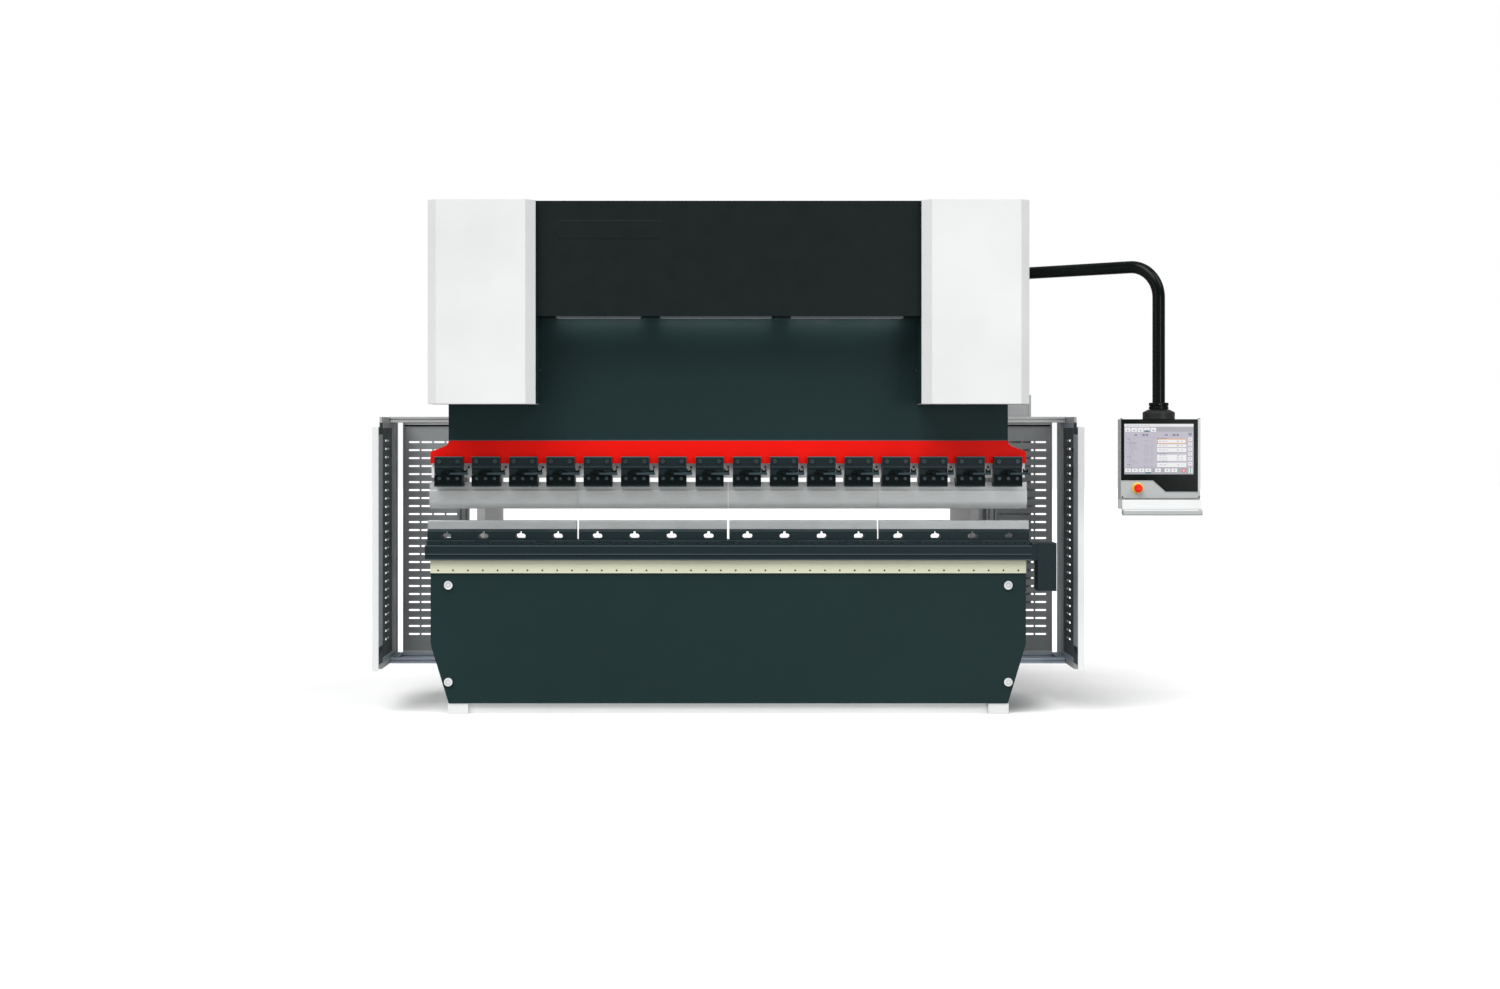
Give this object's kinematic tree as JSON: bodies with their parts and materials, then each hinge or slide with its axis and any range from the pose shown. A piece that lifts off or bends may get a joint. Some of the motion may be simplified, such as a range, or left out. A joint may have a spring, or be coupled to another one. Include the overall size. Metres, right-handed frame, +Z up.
{
  "type": "press brake",
  "caption": "Hydraulic press brake with quick-clamp upper tools, crowning table, cylinder covers, swinging side guards and a pendant control on a swing arm.",
  "frame": {"origin": "on the floor, straight under the middle of the bend line, on the underside of the front floor rail", "axes": "+X along the bend line to the operator's right, +Y away from the operator, +Z up"},
  "size_m": [4.3427, 2.0409, 2.739],
  "materials": {
    "frame_paint": "semi-matt light grey paint",
    "slate_paint": "semi-matt dark slate paint",
    "cream_paint": "satin cream paint",
    "dark_steel": "dark phosphated steel",
    "tool_steel": "ground tool steel",
    "light_paint": "satin light grey paint",
    "white_paint": "satin white powder coat",
    "black_paint": "satin black paint",
    "lamp_diffuser": "opal diffuser",
    "grey_paint": "satin grey paint",
    "black_plastic": "moulded",
    "anodised_profile": "anodised, satin",
    "ground_steel": "ground",
    "red_paint": "satin red paint",
    "blued_steel": "blued, oiled",
    "screw_steel": "blackened steel",
    "chrome_rod": "hard chrome",
    "gloss_black": "gloss black",
    "silver_paint": "satin silver",
    "screen_glass": "glossy black front with a lit display",
    "red_plastic": "moulded",
    "aluminium_bar": "anodised"
  },
  "bodies": {
    "machine_frame": {"side_frames": "frame_paint", "tie_beams": "frame_paint", "lower_beam": "slate_paint", "rail_strip": "cream_paint", "crowning_table": "dark_steel", "die_holders": "dark_steel", "dies": "tool_steel", "base_plinth": "light_paint", "feet": "white_paint", "beam_caps": "light_paint", "crowning_drive": "dark_steel", "left_cover": "white_paint", "right_cover": "white_paint", "centre_cover": "black_paint", "work_lights": "lamp_diffuser", "cylinders": "dark_steel", "oil_tank": "slate_paint", "pump_motor": "grey_paint", "electrical_cabinet": "light_paint", "guard_frames": "anodised_profile", "guard_panels": "grey_paint", "ram_guides": "ground_steel", "gauge_rails": "ground_steel", "arm_bracket": "black_paint"},
    "motor_fan": {"motor_fan": "black_plastic"},
    "cabinet_door": {"cabinet_door": "light_paint"},
    "ram": {"ram_beam": "slate_paint", "ram_nose": "red_paint", "clamp_blocks": "blued_steel", "clamp_plates": "blued_steel", "clamp_screws": "screw_steel", "punches": "tool_steel", "piston_rods": "chrome_rod"},
    "left_door": {"left_door": "white_paint"},
    "right_door": {"right_door": "white_paint"},
    "swing_arm": {"swing_arm": "gloss_black"},
    "pendant": {"pendant_case": "silver_paint", "screen": "screen_glass", "pendant_tray": "white_paint"},
    "estop_button": {"estop_button": "red_plastic"},
    "gauge_carriage": {"gauge_carriage": "dark_steel"},
    "gauge_beam": {"gauge_beam": "aluminium_bar"},
    "gauge_finger_left": {"gauge_finger_left": "ground_steel"},
    "gauge_finger_right": {"gauge_finger_right": "ground_steel"},
    "clamp_lever_01": {"clamp_lever_01": "blued_steel"},
    "clamp_lever_02": {"clamp_lever_02": "blued_steel"},
    "clamp_lever_03": {"clamp_lever_03": "blued_steel"},
    "clamp_lever_04": {"clamp_lever_04": "blued_steel"},
    "clamp_lever_05": {"clamp_lever_05": "blued_steel"},
    "clamp_lever_06": {"clamp_lever_06": "blued_steel"},
    "clamp_lever_07": {"clamp_lever_07": "blued_steel"},
    "clamp_lever_08": {"clamp_lever_08": "blued_steel"},
    "clamp_lever_09": {"clamp_lever_09": "blued_steel"},
    "clamp_lever_10": {"clamp_lever_10": "blued_steel"},
    "clamp_lever_11": {"clamp_lever_11": "blued_steel"},
    "clamp_lever_12": {"clamp_lever_12": "blued_steel"},
    "clamp_lever_13": {"clamp_lever_13": "blued_steel"},
    "clamp_lever_14": {"clamp_lever_14": "blued_steel"},
    "clamp_lever_15": {"clamp_lever_15": "blued_steel"},
    "clamp_lever_16": {"clamp_lever_16": "blued_steel"}
  },
  "joints": [
    {"name": "ram_stroke", "type": "slide", "parent": "machine_frame", "child": "ram", "axis": [0, 0, 1], "range_m": [-0.07, 0.185]},
    {"name": "lever_01_turn", "type": "hinge", "parent": "ram", "child": "clamp_lever_01", "pos_m": [-1.5, -0.1, 1.295], "axis": [0, 1, 0], "range_deg": [0, 90]},
    {"name": "lever_02_turn", "type": "hinge", "parent": "ram", "child": "clamp_lever_02", "pos_m": [-1.3, -0.1, 1.295], "axis": [0, 1, 0], "range_deg": [0, 90]},
    {"name": "lever_03_turn", "type": "hinge", "parent": "ram", "child": "clamp_lever_03", "pos_m": [-1.1, -0.1, 1.295], "axis": [0, 1, 0], "range_deg": [0, 90]},
    {"name": "lever_04_turn", "type": "hinge", "parent": "ram", "child": "clamp_lever_04", "pos_m": [-0.9, -0.1, 1.295], "axis": [0, 1, 0], "range_deg": [0, 90]},
    {"name": "lever_05_turn", "type": "hinge", "parent": "ram", "child": "clamp_lever_05", "pos_m": [-0.7, -0.1, 1.295], "axis": [0, 1, 0], "range_deg": [0, 90]},
    {"name": "lever_06_turn", "type": "hinge", "parent": "ram", "child": "clamp_lever_06", "pos_m": [-0.5, -0.1, 1.295], "axis": [0, 1, 0], "range_deg": [0, 90]},
    {"name": "lever_07_turn", "type": "hinge", "parent": "ram", "child": "clamp_lever_07", "pos_m": [-0.3, -0.1, 1.295], "axis": [0, 1, 0], "range_deg": [0, 90]},
    {"name": "lever_08_turn", "type": "hinge", "parent": "ram", "child": "clamp_lever_08", "pos_m": [-0.1, -0.1, 1.295], "axis": [0, 1, 0], "range_deg": [0, 90]},
    {"name": "lever_09_turn", "type": "hinge", "parent": "ram", "child": "clamp_lever_09", "pos_m": [0.1, -0.1, 1.295], "axis": [0, 1, 0], "range_deg": [0, 90]},
    {"name": "lever_10_turn", "type": "hinge", "parent": "ram", "child": "clamp_lever_10", "pos_m": [0.3, -0.1, 1.295], "axis": [0, 1, 0], "range_deg": [0, 90]},
    {"name": "lever_11_turn", "type": "hinge", "parent": "ram", "child": "clamp_lever_11", "pos_m": [0.5, -0.1, 1.295], "axis": [0, 1, 0], "range_deg": [0, 90]},
    {"name": "lever_12_turn", "type": "hinge", "parent": "ram", "child": "clamp_lever_12", "pos_m": [0.7, -0.1, 1.295], "axis": [0, 1, 0], "range_deg": [0, 90]},
    {"name": "lever_13_turn", "type": "hinge", "parent": "ram", "child": "clamp_lever_13", "pos_m": [0.9, -0.1, 1.295], "axis": [0, 1, 0], "range_deg": [0, 90]},
    {"name": "lever_14_turn", "type": "hinge", "parent": "ram", "child": "clamp_lever_14", "pos_m": [1.1, -0.1, 1.295], "axis": [0, 1, 0], "range_deg": [0, 90]},
    {"name": "lever_15_turn", "type": "hinge", "parent": "ram", "child": "clamp_lever_15", "pos_m": [1.3, -0.1, 1.295], "axis": [0, 1, 0], "range_deg": [0, 90]},
    {"name": "lever_16_turn", "type": "hinge", "parent": "ram", "child": "clamp_lever_16", "pos_m": [1.5, -0.1, 1.295], "axis": [0, 1, 0], "range_deg": [0, 90]},
    {"name": "left_door_swing", "type": "hinge", "parent": "machine_frame", "child": "left_door", "pos_m": [-1.921, 0.562, 0.9], "axis": [0, 0, 1], "range_deg": [-95, 0]},
    {"name": "right_door_swing", "type": "hinge", "parent": "machine_frame", "child": "right_door", "pos_m": [1.921, 0.562, 0.9], "axis": [0, 0, 1], "range_deg": [0, 95]},
    {"name": "cabinet_door_swing", "type": "hinge", "parent": "machine_frame", "child": "cabinet_door", "pos_m": [1.74, 1.39, 1.1], "axis": [0, 0, 1], "range_deg": [0, 110]},
    {"name": "arm_swing", "type": "hinge", "parent": "machine_frame", "child": "swing_arm", "pos_m": [1.487, 0.097, 2.375], "axis": [0, 0, 1], "range_deg": [-5, 25]},
    {"name": "pendant_turn", "type": "hinge", "parent": "swing_arm", "child": "pendant", "pos_m": [2.20972, -0.53792, 1.62], "axis": [0, 0, 1], "range_deg": [-60, 60]},
    {"name": "estop_press", "type": "slide", "parent": "pendant", "child": "estop_button", "axis": [0, 1, 0], "range_m": [0, 0.006], "stiffness_N_per_m": 800},
    {"name": "gauge_depth", "type": "slide", "parent": "machine_frame", "child": "gauge_carriage", "axis": [0, 1, 0], "range_m": [-0.43, 0.2]},
    {"name": "gauge_lift", "type": "slide", "parent": "gauge_carriage", "child": "gauge_beam", "axis": [0, 0, 1], "range_m": [0, 0.18]},
    {"name": "left_finger_shift", "type": "slide", "parent": "gauge_beam", "child": "gauge_finger_left", "axis": [1, 0, 0], "range_m": [-0.6, 0.4]},
    {"name": "right_finger_shift", "type": "slide", "parent": "gauge_beam", "child": "gauge_finger_right", "axis": [1, 0, 0], "range_m": [-0.4, 0.6]},
    {"name": "fan_spin", "type": "hinge", "parent": "machine_frame", "child": "motor_fan", "pos_m": [1, 0.62, 2.4], "axis": [1, 0, 0], "continuous": true}
  ]
}
